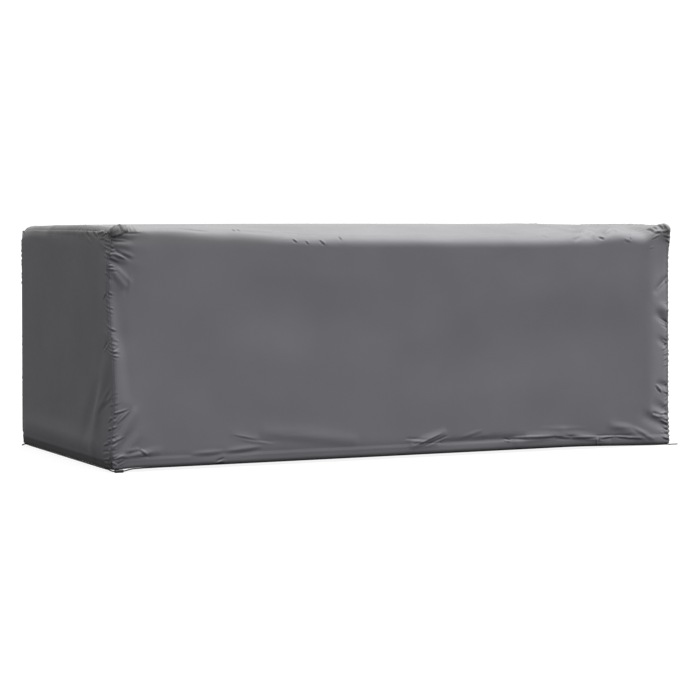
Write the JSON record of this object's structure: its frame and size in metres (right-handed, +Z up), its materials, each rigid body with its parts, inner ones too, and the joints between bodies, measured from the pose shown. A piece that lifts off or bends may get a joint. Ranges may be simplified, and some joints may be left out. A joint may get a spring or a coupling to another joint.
{
  "type": "patio furniture cover",
  "caption": "Fitted cover for outdoor furniture: a hollow cloth box, open below, with soft puckered edges and a black drawcord with a cord lock at its hem.",
  "frame": {"origin": "the middle of the flat top of the hidden furniture, which bears the cover 2 mm under its cloth", "axes": "+X along the cover's length, from its left end to its right end; +Y from its front wall to its back wall; +Z up"},
  "size_m": [2.6453, 1.2237, 0.9847],
  "materials": {
    "cloth": "coated polyester with a fine plain weave and a soft sheen",
    "cord": "braided and matt",
    "lock": "fine moulded grain"
  },
  "bodies": {
    "root": {"body_panel": "cloth", "end_panel_left": "cloth", "end_panel_right": "cloth", "hem_drawcord": "cord", "cord_lock": "lock"}
  },
  "joints": []
}
